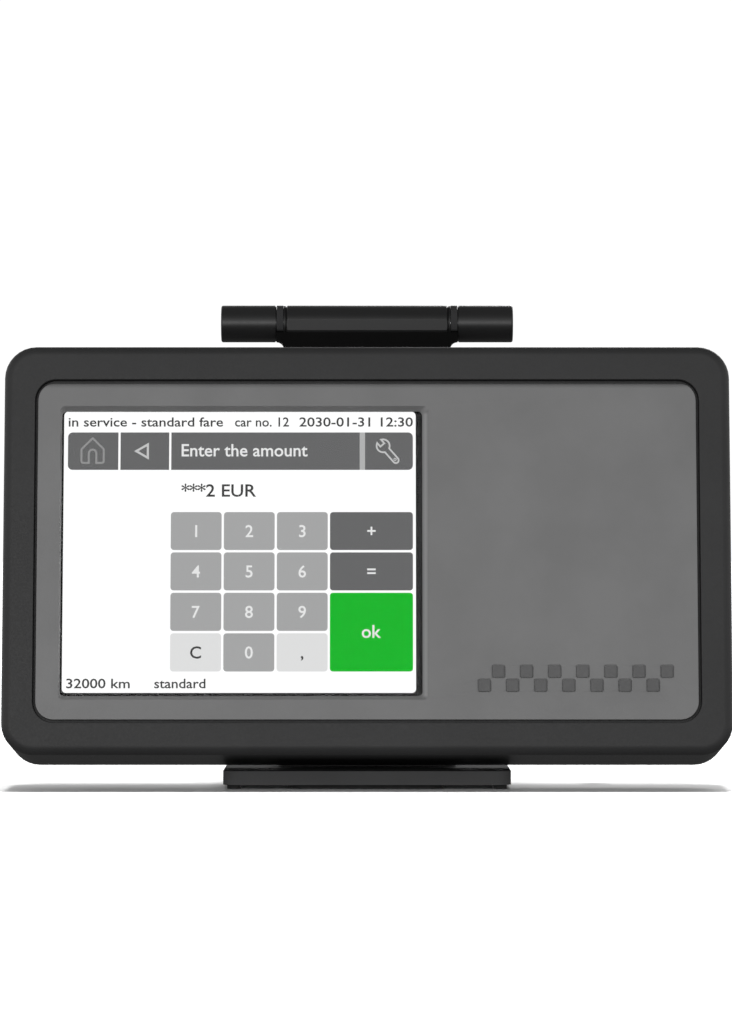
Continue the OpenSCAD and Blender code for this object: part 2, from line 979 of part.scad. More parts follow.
// Arm of the stand: head, upright, three ribs and the foot that the base is screwed to
module stand_arm() {
    arm_back = arm_y0 + arm_t;
    reach = case_bottom + hinge_back;
    taper_z = -52;
    rib_top_z = -58;
    rib_foot_z = -reach + 8;
    rib_sink = 1;
    rib_top = placed(arm_back - rib_sink, rib_top_z);
    rib_foot = placed(arm_back - rib_sink, rib_foot_z);
    rib_end_y = flange_y1 - 2;
    flange_r = 3;
    below = 50;
    color([0.05, 0.05, 0.055])
        difference() {
            union() {
                at_hinge() {
                    stand_head();
                    translate([0, arm_back, 0])
                        rotate([90, 0, 0])
                            linear_extrude(arm_t)
                                polygon([
                                    [-arm_w / 2, 0], [-arm_w / 2, taper_z],
                                    [-arm_foot_w / 2, -reach], [arm_foot_w / 2, -reach],
                                    [arm_w / 2, taper_z], [arm_w / 2, 0]
                                ]);
                }
                for (x = [-rib_x, 0, rib_x])
                    side_plate(x - rib_t / 2, x + rib_t / 2)
                        polygon([
                            rib_top,
                            [rib_end_y, base_top + flange_t],
                            [rib_end_y, base_top + rib_sink],
                            [rib_foot[0], base_top + rib_sink]
                        ]);
                translate([0, (flange_y0 + flange_y1) / 2, base_top])
                    linear_extrude(flange_t)
                        round_rect(arm_foot_w, flange_y1 - flange_y0, flange_r);
            }
            at_hinge()
                bar_x(axle_r, -barrel_l, barrel_l);
            translate([-base_w, -base_d, base_top - below])
                cube([2 * base_w, 2 * base_d, below]);
            arm_screw_bars(arm_screw_r, base_top - 1, base_top + flange_t - arm_screw_skin);
        }
}

// Upright bars at the four arm screws
module arm_screw_bars(r, z0, z1) {
    for (sx = [-1, 1], y = arm_bolt_y)
        translate([sx * arm_bolt_x, y, z0])
            cylinder(r = r, h = z1 - z0);
}

// Rubber pad on the arm that the hanger plate rests against
module stop_pad() {
    stop_w = 18;
    stop_h = 8;
    stop_r = 2;
    color([0.03, 0.03, 0.03])
        at_hinge()
            translate([0, 0, stop_z])
                slab(stop_w, stop_h, stop_r, -hinge_back + hanger_t + slip / 2, arm_y0);
}

// Countersunk heads and shanks of the arm screws
module arm_screw_forms() {
    sink = arm_screw_head_r - arm_screw_r;
    for (sx = [-1, 1], y = arm_bolt_y)
        translate([sx * arm_bolt_x, y, pad_t]) {
            cylinder(r1 = arm_screw_head_r, r2 = arm_screw_r, h = sink);
            cylinder(r = arm_screw_r, h = base_t + flange_t - arm_screw_skin - arm_screw_end);
        }
}

// Four screws that hold the arm on the base plate
module arm_screws() {
    color([0.6, 0.61, 0.62])
        arm_screw_forms();
}

// Base plate with its mounting holes
module base_plate() {
    color([0.05, 0.05, 0.055])
        difference() {
            translate([0, 0, pad_t])
                linear_extrude(base_t)
                    round_rect(base_w, base_d, base_r);
            arm_screw_forms();
            for (sx = [-1, 1], sy = [-1, 1])
                translate([sx * bolt_x / 2, sy * bolt_y / 2, 0])
                    cylinder(r = bolt_d / 2, h = base_top + 1);
        }
}

// Rubber mat and side rails under the base plate
module base_pads() {
    pad_d = base_d - 2 * pad_inset;
    mat_r = 3;
    rail_r = 1.2;
    color([0.03, 0.03, 0.03]) {
        linear_extrude(pad_t)
            round_rect(mat_w, pad_d, mat_r);
        for (sx = [-1, 1])
            translate([sx * rail_x, 0, 0])
                linear_extrude(pad_t)
                    round_rect(rail_w, pad_d, rail_r);
    }
}

front_housing();
front_panel();
trim_squares();
window_gasket();
touch_glass();
lcd_cell();
lcd_frame();
backlight_unit();
display_ribbon();
main_board();
processor_shield();
battery_holder();
backup_cell();
buzzer();
board_screws();
rear_cover();
case_gasket();
case_screws();
seal_caps();
io_connector();
power_inlet();
antenna_socket();
antenna_nut();
rating_plate();
hanger_plate();
hanger_screws();
hinge_axle();
friction_washers();
disc_springs();
tension_knob_left();
tension_knob_right();
stand_arm();
stop_pad();
arm_screws();
base_plate();
base_pads();
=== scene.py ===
import json
import math

import bmesh
import bpy
from mathutils import Matrix, Vector

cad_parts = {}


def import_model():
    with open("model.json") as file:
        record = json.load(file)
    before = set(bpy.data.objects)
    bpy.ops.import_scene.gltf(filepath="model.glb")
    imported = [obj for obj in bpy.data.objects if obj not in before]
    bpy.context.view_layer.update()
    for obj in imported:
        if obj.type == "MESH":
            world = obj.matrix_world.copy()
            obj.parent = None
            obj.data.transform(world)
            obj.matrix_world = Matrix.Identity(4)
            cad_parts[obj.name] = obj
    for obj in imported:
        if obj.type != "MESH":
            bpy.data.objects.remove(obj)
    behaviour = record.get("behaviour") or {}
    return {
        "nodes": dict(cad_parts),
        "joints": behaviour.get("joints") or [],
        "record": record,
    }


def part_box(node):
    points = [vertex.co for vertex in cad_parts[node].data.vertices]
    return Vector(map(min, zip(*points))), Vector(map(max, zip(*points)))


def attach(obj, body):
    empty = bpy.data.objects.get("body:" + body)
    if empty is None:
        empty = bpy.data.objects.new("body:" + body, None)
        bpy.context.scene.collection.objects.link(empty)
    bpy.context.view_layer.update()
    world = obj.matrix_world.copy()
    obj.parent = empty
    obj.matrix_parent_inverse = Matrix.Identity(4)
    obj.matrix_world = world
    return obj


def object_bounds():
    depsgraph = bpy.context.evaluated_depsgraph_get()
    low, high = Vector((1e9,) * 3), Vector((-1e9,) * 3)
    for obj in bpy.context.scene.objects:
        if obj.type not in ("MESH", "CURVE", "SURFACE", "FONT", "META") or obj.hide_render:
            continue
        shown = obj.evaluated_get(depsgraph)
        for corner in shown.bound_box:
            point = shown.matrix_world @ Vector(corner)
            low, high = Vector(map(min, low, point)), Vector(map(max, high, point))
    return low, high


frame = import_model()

cad_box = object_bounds()

MM = 0.001
CASE = "case"

joints = {j["name"]: j for j in frame["joints"]}
mounts = {m["name"]: m for m in frame["record"]["mounts"]}

# The case hangs from the hinge and leans back by the same angle as its aerial socket.
hinge = Vector(joints["case_tilt"]["pos_m"])
aerial_axis = Vector(mounts["aerial_thread"]["axis"])
lean = math.atan2(-aerial_axis.z, aerial_axis.y)
CASE_AXES = Matrix.Translation(hinge) @ Matrix.Rotation(-lean, 4, "X")


def case_box(node):
    """Lowest and highest corner of a CAD node along the case's own axes, from the hinge."""
    to_case = CASE_AXES.inverted()
    points = [to_case @ v.co for v in frame["nodes"][node].data.vertices]
    low = Vector(min(p[i] for p in points) for i in range(3))
    high = Vector(max(p[i] for p in points) for i in range(3))
    return low, high


# ---------------------------------------------------------------- materials

GRAIN_SIZE = 0.45 * MM
BAND_EDGE = 0.7 * MM
NOISE_LOW, NOISE_HIGH = 0.3, 0.7
UNEVEN = 0.985
# Sockets of the colour mixing node, which go by number because several share a name.
MIX_FACTOR, MIX_FROM, MIX_TO, MIX_RESULT = 0, 6, 7, 2


class Look:
    """A material being built: its shader, and short ways to add nodes to it."""

    def __init__(self, name, colour, rough, metal=0.0):
        self.mat = bpy.data.materials.new(name)
        self.mat.use_nodes = True
        self.tree = self.mat.node_tree
        self.bsdf = self.tree.nodes["Principled BSDF"]
        self.set("Base Color", (*colour, 1.0))
        self.set("Roughness", rough)
        self.set("Metallic", metal)
        self.mat.diffuse_color = (*colour, 1.0)
        self.place = self.add("ShaderNodeTexCoord").outputs["Object"]

    def add(self, kind, **values):
        node = self.tree.nodes.new(kind)
        for key, value in values.items():
            setattr(node, key, value)
        return node

    def link(self, a, b):
        self.tree.links.new(a, b)

    def set(self, socket, value):
        self.bsdf.inputs[socket].default_value = value

    def noise(self, scale, detail=2.0, stretch=None):
        """Noise in metres; stretch scales the pattern along X, Y and Z."""
        node = self.add("ShaderNodeTexNoise")
        node.inputs["Scale"].default_value = scale
        node.inputs["Detail"].default_value = detail
        source = self.place
        if stretch:
            mapping = self.add("ShaderNodeMapping")
            mapping.inputs["Scale"].default_value = stretch
            self.link(source, mapping.inputs["Vector"])
            source = mapping.outputs["Vector"]
        self.link(source, node.inputs["Vector"])
        return node.outputs["Fac"]

    def spread(self, value, low, high):
        """Maps a noise, which stays near the middle of its range, onto low to high."""
        node = self.add("ShaderNodeMapRange")
        node.inputs["From Min"].default_value = NOISE_LOW
        node.inputs["From Max"].default_value = NOISE_HIGH
        node.inputs["To Min"].default_value = low
        node.inputs["To Max"].default_value = high
        self.link(value, node.inputs["Value"])
        return node.outputs["Result"]

    def tint(self, value, colour, low, high):
        """Base colour that wanders between two strengths of one colour."""
        node = self.add("ShaderNodeMix", data_type="RGBA")
        node.inputs[MIX_FROM].default_value = (*[c * low for c in colour], 1.0)
        node.inputs[MIX_TO].default_value = (*[min(1.0, c * high) for c in colour], 1.0)
        self.link(self.spread(value, 0.0, 1.0), node.inputs[MIX_FACTOR])
        self.link(node.outputs[MIX_RESULT], self.bsdf.inputs["Base Color"])

    def band(self, value, low, high, soft):
        """One between low and high, and zero outside them."""
        sides = []
        for edge, towards in ((low, low + soft), (high, high - soft)):
            node = self.add("ShaderNodeMapRange")
            node.inputs["From Min"].default_value = edge
            node.inputs["From Max"].default_value = towards
            self.link(value, node.inputs["Value"])
            sides.append(node.outputs["Result"])
        both = self.add("ShaderNodeMath", operation="MULTIPLY")
        self.link(sides[0], both.inputs[0])
        self.link(sides[1], both.inputs[1])
        return both.outputs["Value"]

    def lighten(self, low, high, colour):
        """Paints light or shade into the base: another colour between two places across and up the
        object.
        """
        split = self.add("ShaderNodeSeparateXYZ")
        self.link(self.place, split.inputs["Vector"])
        across = self.band(split.outputs["X"], low[0], high[0], BAND_EDGE)
        up = self.band(split.outputs["Z"], low[1], high[1], BAND_EDGE)
        both = self.add("ShaderNodeMath", operation="MULTIPLY")
        self.link(across, both.inputs[0])
        self.link(up, both.inputs[1])
        mix = self.add("ShaderNodeMix", data_type="RGBA")
        base = self.bsdf.inputs["Base Color"]
        self.link(both.outputs["Value"], mix.inputs[MIX_FACTOR])
        self.link(base.links[0].from_socket, mix.inputs[MIX_FROM])
        mix.inputs[MIX_TO].default_value = (*colour, 1.0)
        self.link(mix.outputs[MIX_RESULT], base)

    def bump(self, value, strength, depth):
        """Relief of the surface from a noise."""
        node = self.add("ShaderNodeBump")
        node.inputs["Strength"].default_value = strength
        node.inputs["Distance"].default_value = depth
        self.link(value, node.inputs["Height"])
        self.link(node.outputs["Normal"], self.bsdf.inputs["Normal"])


def moulded(name, colour, rough=0.5, grain=0.25, cloud=0.06, gloss=0.4, lighter=None):
    """Injection-moulded plastic with a fine spark-eroded grain."""
    look = Look(name, colour, rough)
    look.tint(look.noise(60, 3), colour, 1 - cloud, 1 + cloud)
    if lighter:
        look.lighten(*lighter)
    fine = look.noise(1 / GRAIN_SIZE, 2)
    look.link(look.spread(fine, rough - 0.05, rough + 0.06), look.bsdf.inputs["Roughness"])
    look.bump(fine, grain, 0.03 * MM)
    look.set("Specular IOR Level", gloss)
    return look.mat


def painted(name, colour, rough=0.4, peel=0.03, gloss=0.5, lighter=None):
    """Powder-coated or lacquered metal with a soft orange peel."""
    look = Look(name, colour, rough)
    look.tint(look.noise(40, 3), colour, 0.92, 1.08)
    if lighter:
        look.lighten(*lighter)
    peel_noise = look.noise(900, 2)
    look.link(look.spread(peel_noise, rough - 0.02, rough + 0.02), look.bsdf.inputs["Roughness"])
    look.bump(peel_noise, peel, 0.02 * MM)
    look.set("Specular IOR Level", gloss)
    return look.mat


def metal(name, colour, rough=0.3, brush=(1, 1, 1), scale=1500, grain=0.12):
    """Bare metal, brushed along the axis whose stretch is smallest."""
    look = Look(name, colour, rough, 1.0)
    lines = look.noise(scale, 3, brush)
    look.tint(lines, colour, 1 - grain, 1 + grain / 2)
    look.link(look.spread(lines, rough - 0.08, rough + 0.1), look.bsdf.inputs["Roughness"])
    look.bump(lines, grain, 0.02 * MM)
    return look.mat


def rubber(name, colour=(0.012, 0.012, 0.012)):
    """Matt black rubber with a slightly dusty surface."""
    look = Look(name, colour, 0.75)
    dust = look.noise(300, 4)
    look.tint(dust, colour, 0.7, 1.6)
    look.bump(look.noise(2500, 2), 0.3, 0.04 * MM)
    look.set("Specular IOR Level", 0.3)
    return look.mat


def clear_glass(name):
    """Touch glass: clear, with faint smears in its gloss."""
    look = Look(name, (0.985, 0.99, 0.99), 0.02)
    look.set("Transmission Weight", 1.0)
    look.set("IOR", 1.2)
    smear = look.noise(45, 4, (1.0, 1.0, 2.2))
    look.link(look.spread(smear, 0.0, 0.05), look.bsdf.inputs["Roughness"])
    return look.mat


def lit(name, colour, strength=1.0):
    """Part of the picture on the display, lit evenly from behind."""
    look = Look(name, (0.0, 0.0, 0.0), 0.6)
    look.set("Specular IOR Level", 0.0)
    node = look.add("ShaderNodeMix", data_type="RGBA")
    node.inputs[MIX_FROM].default_value = (*[c * UNEVEN for c in colour], 1.0)
    node.inputs[MIX_TO].default_value = (*colour, 1.0)
    look.link(look.spread(look.noise(25, 2), 0.0, 1.0), node.inputs[MIX_FACTOR])
    look.link(node.outputs[MIX_RESULT], look.bsdf.inputs["Emission Color"])
    look.set("Emission Strength", strength)
    return look.mat


def laminate(name):
    """Green circuit board with faint tracks under its lacquer."""
    look = Look(name, BOARD_GREEN, 0.35)
    look.tint(look.noise(500, 1, (1.0, 1.0, 0.15)), BOARD_GREEN, 0.7, 1.5)
    look.set("Coat Weight", 0.4)
    return look.mat


CASE_GREY = (0.036, 0.036, 0.0365)
PANEL_GREY = (0.222, 0.222, 0.223)
TRIM_GREY = (0.098, 0.098, 0.099)
# Colour of the painted highlight on the window's right lip.
LIP_HIGHLIGHT_GREY = (0.36, 0.36, 0.363)
GLASS_LAP, LIP_W = 1.5 * MM, 1.6 * MM
BOARD_GREEN = (0.012, 0.11, 0.045)
EAR_GREY = (0.05, 0.05, 0.051)
EAR_DROP, EAR_REACH = 2.2 * MM, 100 * MM

# Painted highlight: the window's right lip, from the glass's overlap outwards, is painted lighter
# where the display's light falls on its chamfer.
glass_low, glass_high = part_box("touch_glass")
lip_x = glass_high[0] - GLASS_LAP
lip_highlight = ((lip_x, glass_low[2] + GLASS_LAP), (lip_x + LIP_W, glass_high[2] - GLASS_LAP), LIP_HIGHLIGHT_GREY)

case_plastic = moulded("case_plastic", CASE_GREY, 0.5, gloss=0.28)
# The panel's lighter band on the window's right lip is a painted highlight.
panel_plastic = moulded("panel_plastic", PANEL_GREY, 0.48, lighter=lip_highlight)
trim_plastic = moulded("trim_plastic", TRIM_GREY, 0.4)
hinge_black = painted("hinge_black", (0.02, 0.02, 0.0203), 0.36, 0.005, 0.4)
# The neck is in deep shade: as painted shade, its paint is made darker than that of the two ears
# above it.
ears = ((-EAR_REACH, hinge.z - EAR_DROP), (EAR_REACH, hinge.z + EAR_REACH), EAR_GREY)
neck_black_painted_shade = painted("neck_black_painted_shade", (0.002, 0.002, 0.002), 0.5, 0.02, 0.04, ears)
stand_paint = painted("stand_paint", (0.076, 0.076, 0.077), 0.6, gloss=0.02)
coated_steel = painted("coated_steel", (0.006, 0.006, 0.006), 0.5, 0.05, 0.3)
black_moulding = moulded("black_moulding", (0.016, 0.016, 0.016), 0.5)
rubber_black = rubber("rubber_black")
foam_black = rubber("foam_black", (0.008, 0.008, 0.008))
touch_glass = clear_glass("touch_glass")
bright_steel = metal("bright_steel", (0.62, 0.62, 0.63), 0.32, (0.1, 1, 1))
axle_steel = metal("axle_steel", (0.58, 0.58, 0.6), 0.25, (0.05, 1, 1))
screw_black = metal("screw_black", (0.06, 0.06, 0.062), 0.4)
screw_zinc = metal("screw_zinc", (0.62, 0.62, 0.63), 0.3)
cell_steel = metal("cell_steel", (0.7, 0.7, 0.68), 0.2)
brass = metal("brass", (0.72, 0.5, 0.2), 0.25)
plate_aluminium = metal("plate_aluminium", (0.72, 0.72, 0.73), 0.35, (0.04, 1, 1), grain=0.04)
nylon = moulded("nylon", (0.01, 0.01, 0.01), 0.45)
light_guide = moulded("light_guide", (0.8, 0.8, 0.78), 0.3)
ribbon_film = moulded("ribbon_film", (0.5, 0.26, 0.05), 0.3)
seal_red = moulded("seal_red", (0.42, 0.02, 0.012), 0.4)
board_laminate = laminate("board_laminate")
display_glass = moulded("display_glass", (0.006, 0.006, 0.0065), 0.25, 0.02, gloss=0.1)

NODE_LOOKS = {
    case_plastic: ["front_housing", "rear_cover"],
    panel_plastic: ["front_panel"],
    trim_plastic: ["trim_squares"],
    foam_black: ["window_gasket"],
    touch_glass: ["touch_glass"],
    display_glass: ["lcd_cell"],
    bright_steel: ["processor_shield", "io_connector"],
    coated_steel: ["lcd_frame"],
    light_guide: ["backlight_unit"],
    ribbon_film: ["display_ribbon"],
    board_laminate: ["main_board"],
    black_moulding: ["battery_holder", "buzzer", "power_inlet"],
    cell_steel: ["backup_cell"],
    screw_zinc: ["board_screws", "arm_screws"],
    rubber_black: ["case_gasket", "stop_pad", "base_pads"],
    screw_black: ["case_screws", "hanger_screws", "disc_springs"],
    seal_red: ["seal_caps"],
    brass: ["antenna_socket", "antenna_nut"],
    plate_aluminium: ["rating_plate"],
    hinge_black: ["stand_arm", "tension_knob_left", "tension_knob_right"],
    # The hanger plate's dark neck below its ears is painted shade.
    neck_black_painted_shade: ["hanger_plate"],
    axle_steel: ["hinge_axle"],
    nylon: ["friction_washers"],
    stand_paint: ["base_plate"],
}
for look, names in NODE_LOOKS.items():
    for name in names:
        data = frame["nodes"][name].data
        data.materials.clear()
        data.materials.append(look)


# ---------------------------------------------------------------- softened CAD edges


BEVEL_SEGMENTS = 3


def soften(node, width, angle=35, clamp=True):
    """Rounds a CAD node's sharp edges a little, as moulding and machining do."""
    obj = frame["nodes"][node]
    weld = obj.modifiers.new("weld", "WELD")
    weld.merge_threshold = 0.001 * MM
    bevel = obj.modifiers.new("soft_edges", "BEVEL")
    bevel.width = width
    bevel.segments = BEVEL_SEGMENTS
    bevel.limit_method = "ANGLE"
    bevel.angle_limit = math.radians(angle)
    bevel.use_clamp_overlap = clamp
    shading = obj.modifiers.new("even_shading", "WEIGHTED_NORMAL")
    shading.weight = 100
    shading.keep_sharp = True
    for polygon in obj.data.polygons:
        polygon.use_smooth = True


SOFT_EDGES = {
    "front_panel": 0.35 * MM,
    "trim_squares": 0.08 * MM,
    "rear_cover": 0.25 * MM,
    "stand_arm": 0.5 * MM,
    "base_plate": 1.0 * MM,
    "hanger_plate": 0.3 * MM,
    "antenna_nut": 0.15 * MM,
    "io_connector": 0.12 * MM,
    "power_inlet": 0.12 * MM,
    "base_pads": 0.1 * MM,
    "stop_pad": 0.3 * MM,
    "rating_plate": 0.05 * MM,
}
for node, width in SOFT_EDGES.items():
    soften(node, width)
# Only the square edges of the housing: its panel opening and its seam.
soften("front_housing", 0.2 * MM, angle=80, clamp=False)


# ---------------------------------------------------------------- picture on the display

# All measures of the picture are in millimetres.
PICTURE_W, PICTURE_H = 88.5, 71.2
LAYER = 0.05
KEY_CORNER = 0.8
# Points closer than this are one, and this keeps the tip of a line's sharp corner short.
SAME_PLACE = 1e-4
SHARPEST = 0.45
cell_low, cell_high = case_box("lcd_cell")
picture_left = (cell_low.x + cell_high.x) / 2 - PICTURE_W / 2 * MM
picture_top = (cell_low.z + cell_high.z) / 2 + PICTURE_H / 2 * MM


def on_screen(x, down, forward):
    """A place on the picture, in millimetres from its top left corner and from the cell."""
    place = Vector((picture_left + x * MM, cell_low.y - forward * MM, picture_top - down * MM))
    return CASE_AXES @ place


def arc(x, y, r, start, end, steps=6):
    """Points of an arc, in degrees from the right, turning towards the bottom of the screen."""
    turns = [math.radians(start + (end - start) * i / steps) for i in range(steps + 1)]
    return [(x + r * math.cos(a), y + r * math.sin(a)) for a in turns]


def rounded(x, down, w, h, radii):
    """Outline of a box with its own radius at the top left, top right, bottom right and left."""
    tl, tr, br, bl = radii
    points = arc(x + tl, down + tl, tl, 180, 270)
    points += arc(x + w - tr, down + tr, tr, 270, 360)
    points += arc(x + w - br, down + h - br, br, 0, 90)
    points += arc(x + bl, down + h - bl, bl, 90, 180)
    return points


def clean(points):
    """Leaves out points that lie on the one before them."""
    kept = [p for i, p in enumerate(points) if math.dist(p, points[i - 1]) > SAME_PLACE]
    return kept


class Layer:
    """Thin closed shapes on the display that share one colour and one height."""

    def __init__(self, name, look, level):
        self.name, self.look = name, look
        self.back, self.front = level * LAYER, (level + 0.8) * LAYER
        self.mesh = bmesh.new()

    def solid(self, points):
        """A closed plate whose outline runs through the points."""
        points = clean(points)
        back = [self.mesh.verts.new(on_screen(*p, self.back)) for p in points]
        front = [self.mesh.verts.new(on_screen(*p, self.front)) for p in points]
        self.mesh.faces.new(front)
        self.mesh.faces.new(back[::-1])
        for i in range(len(points)):
            j = (i + 1) % len(points)
            self.mesh.faces.new((front[i], back[i], back[j], front[j]))

    def key(self, x, down, w, h, radii=(KEY_CORNER,) * 4):
        """A plate with rounded corners, placed by its top left corner."""
        self.solid(rounded(x, down, w, h, radii))

    def outline(self, points, width):
        """A closed line of even width through the points."""
        points = clean(points)
        count = len(points)
        sides = []
        for i in range(count):
            a, b, c = (Vector(points[k % count]) for k in (i - 1, i, i + 1))
            first, second = (b - a).normalized(), (c - b).normalized()
            across = Vector((-(first + second).y, (first + second).x)).normalized()
            reach = width / 2 / max(SHARPEST, across.dot(Vector((-second.y, second.x))))
            sides.append((b + across * reach, b - across * reach))
        rings = [
            [self.mesh.verts.new(on_screen(*side[k], height)) for side in sides]
            for k, height in ((0, self.front), (1, self.front), (1, self.back), (0, self.back))
        ]
        for k in range(4):
            near, far = rings[k], rings[(k + 1) % 4]
            for i in range(count):
                j = (i + 1) % count
                self.mesh.faces.new((near[i], near[j], far[j], far[i]))

    def words(self, text, x, baseline, cap, width=None, middle=False):
        """Lettering whose capitals are cap high; width stretches the whole line."""
        outline = text_mesh(text)
        left = min(v.co.x for v in outline.vertices)
        right = max(v.co.x for v in outline.vertices)
        tall = cap / CAPITAL
        wide = tall if width is None else width / (right - left)
        start = x - (right - left) * wide / 2 if middle else x
        for v in outline.vertices:
            height = self.front if v.co.z > 0 else self.back
            v.co = on_screen(start + (v.co.x - left) * wide, baseline - v.co.y * tall, height)
        self.mesh.from_mesh(outline)
        bpy.data.meshes.remove(outline)

    def done(self):
        """Joins what was drawn and makes it one piece of the case."""
        bmesh.ops.remove_doubles(self.mesh, verts=self.mesh.verts, dist=SAME_PLACE * MM)
        bmesh.ops.recalc_face_normals(self.mesh, faces=self.mesh.faces)
        return finish_piece(self.name, self.mesh, self.look, CASE)


def text_mesh(text):
    """A line of lettering as a flat-sided mesh, one unit to the em."""
    curve = bpy.data.curves.new("words", "FONT")
    curve.body = text
    curve.extrude = 0.01
    curve.offset = STROKE
    curve.resolution_u = 3
    obj = bpy.data.objects.new("words", curve)
    bpy.context.scene.collection.objects.link(obj)
    ready = obj.evaluated_get(bpy.context.evaluated_depsgraph_get())
    mesh = bpy.data.meshes.new_from_object(ready)
    bpy.data.objects.remove(obj)
    bpy.data.curves.remove(curve)
    return mesh


def finish_piece(name, mesh, look, body):
    """Turns a bmesh into a piece that rides on a body."""
    data = bpy.data.meshes.new(name)
    mesh.to_mesh(data)
    mesh.free()
    obj = bpy.data.objects.new(name, data)
    bpy.context.scene.collection.objects.link(obj)
    data.materials.append(look)
    for polygon in data.polygons:
        polygon.use_smooth = False
    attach(obj, body)
    return obj


# How much each stroke of the lettering is widened on either side, in ems.
STROKE = 0.012
capital = text_mesh("H")
CAPITAL = max(v.co.y for v in capital.vertices)

WHITE = (0.985, 0.985, 0.985)
WHITE_GAIN = 1.06
MID_GREY = (0.376, 0.376, 0.378)
LIGHT_GREY = (0.745, 0.745, 0.745)
DIVIDER = (0.45, 0.45, 0.45)
DARK_GREY = (0.127, 0.127, 0.129)
GREEN = (0.0, 0.465, 0.012)
FAINT = (0.28, 0.28, 0.28)
ICON = (0.55, 0.55, 0.55)
INK = (0.045, 0.045, 0.045)
PALE = (0.8, 0.8, 0.8)

KEY_W, KEY_H = 12.75, 9.62
COLUMN, ROW = 13.32, 10.22
KEYS_LEFT, KEYS_TOP = 27.0, 25.55
WIDE_KEY = 20.8
PICTURE_CORNER = 1.0
DIGIT_CAP = 3.0
OK_CAP, OK_DROP = 3.2, 1.4

# How far in front of the cell each kind of shape lies, in layers.
GROUND_LEVEL, GAP_LEVEL, KEY_LEVEL, SIGN_LEVEL = 0.4, 1.0, 1.4, 2.4

# Tool keys: left edge, width and corner radii.
BAR_TOP, BAR_H = 5.28, 9.54
ROUND, SQUARE = 1.2, 0.05
TOOL_KEYS = [
    (1.0, 12.68, (ROUND, SQUARE, SQUARE, ROUND)),
    (14.22, 12.25, (SQUARE,) * 4),
    (27.0, 47.4, (SQUARE,) * 4),
    (75.75, 12.03, (SQUARE, ROUND, ROUND, SQUARE)),
]
GAP_LEFT, GAP_W, GAP_CORNER = 74.4, 1.35, 0.02
HOME_X = 7.2
SPANNER_X, SPANNER_UP, SPANNER_TURN = 80.3, 1.35, 49

# Lines of lettering: words, left edge, baseline, height of a capital and width.
STATUS_BASE, STATUS_CAP = 3.75, 2.3
FOOT_BASE, FOOT_CAP = 70.0, 2.35
AMOUNT_X, AMOUNT_CAP = 29.6, 3.1
DARK_LINES = [
    ("in service - standard fare", 1.1, STATUS_BASE, STATUS_CAP, 38.9),
    ("car no. 12", 43.0, STATUS_BASE, STATUS_CAP, 13.6),
    ("2030-01-31 12:30", 59.2, STATUS_BASE, STATUS_CAP, 28.6),
    ("***2 EUR", AMOUNT_X, 21.6, AMOUNT_CAP, 18.8),
    ("32000 km", 1.1, FOOT_BASE, FOOT_CAP, 15.9),
    ("standard", 23.1, FOOT_BASE, FOOT_CAP, 12.8),
]
PROMPT = ("Enter the amount", AMOUNT_X, 11.35, AMOUNT_CAP, 31.7)


def key_place(column, row):
    """Top left corner of a key of the keypad."""
    return KEYS_LEFT + column * COLUMN, KEYS_TOP + row * ROW


def background():
    """The white ground of the picture."""
    layer = Layer("picture_ground", lit("picture_white", WHITE, WHITE_GAIN), GROUND_LEVEL)
    layer.key(0, 0, PICTURE_W, PICTURE_H, (PICTURE_CORNER,) * 4)
    layer.done()


def toolbar():
    """Row of tool keys under the status line, and the two dark keys of the keypad."""
    layer = Layer("toolbar_keys", lit("picture_dark_grey", DARK_GREY), KEY_LEVEL)
    for left, width, radii in TOOL_KEYS:
        layer.key(left, BAR_TOP, width, BAR_H, radii)
    for row in (0, 1):
        layer.key(*key_place(3, row), WIDE_KEY, KEY_H)
    layer.done()
    gap = Layer("toolbar_divider", lit("picture_divider", DIVIDER), GAP_LEVEL)
    gap.key(GAP_LEFT, BAR_TOP, GAP_W, BAR_H, (GAP_CORNER,) * 4)
    gap.done()


def keypad():
    """Digit keys, the two pale keys and the green key."""
    digits = Layer("digit_keys", lit("picture_mid_grey", MID_GREY), KEY_LEVEL)
    pale = Layer("pale_keys", lit("picture_light_grey", LIGHT_GREY), KEY_LEVEL)
    for row in range(4):
        for column in range(3):
            layer = pale if row == 3 and column != 1 else digits
            layer.key(*key_place(column, row), KEY_W, KEY_H)
    digits.done()
    pale.done()
    green = Layer("ok_key", lit("picture_green", GREEN), KEY_LEVEL)
    green.key(*key_place(3, 2), WIDE_KEY, ROW + KEY_H)
    green.done()


def home_icon(x, down):
    """Outline of a house with a doorway."""
    half, eave, foot, door = 2.8, -0.5, 3.0, 0.95
    return (
        [(x, down - 3.3), (x + half, down + eave)]
        + arc(x + half - 0.5, down + foot - 0.5, 0.5, 0, 90, 3)
        + [(x + door, down + foot)]
        + arc(x, down + 0.55, door, 0, -180, 6)
        + [(x - door, down + foot)]
        + arc(x - half + 0.5, down + foot - 0.5, 0.5, 90, 180, 3)
        + [(x - half, down + eave)]
    )


def spanner_icon(x, down):
    """Outline of an open spanner with its jaw at the upper left."""
    jaw, half, length, notch = 1.65, 0.72, 5.6, 0.65
    neck = math.degrees(math.asin(half / jaw))
    mouth = math.degrees(math.asin(notch / jaw))
    along = arc(0, 0, jaw, neck, 180 - mouth, 8)
    along += [(-0.3, notch), (-0.3, -notch)]
    along += arc(0, 0, jaw, 180 + mouth, 360 - neck, 8)
    along += arc(length - half, 0, half, -90, 90, 6)
    turn = math.radians(SPANNER_TURN)
    return [
        (x + a * math.cos(turn) - b * math.sin(turn), down + a * math.sin(turn) + b * math.cos(turn))
        for a, b in along
    ]


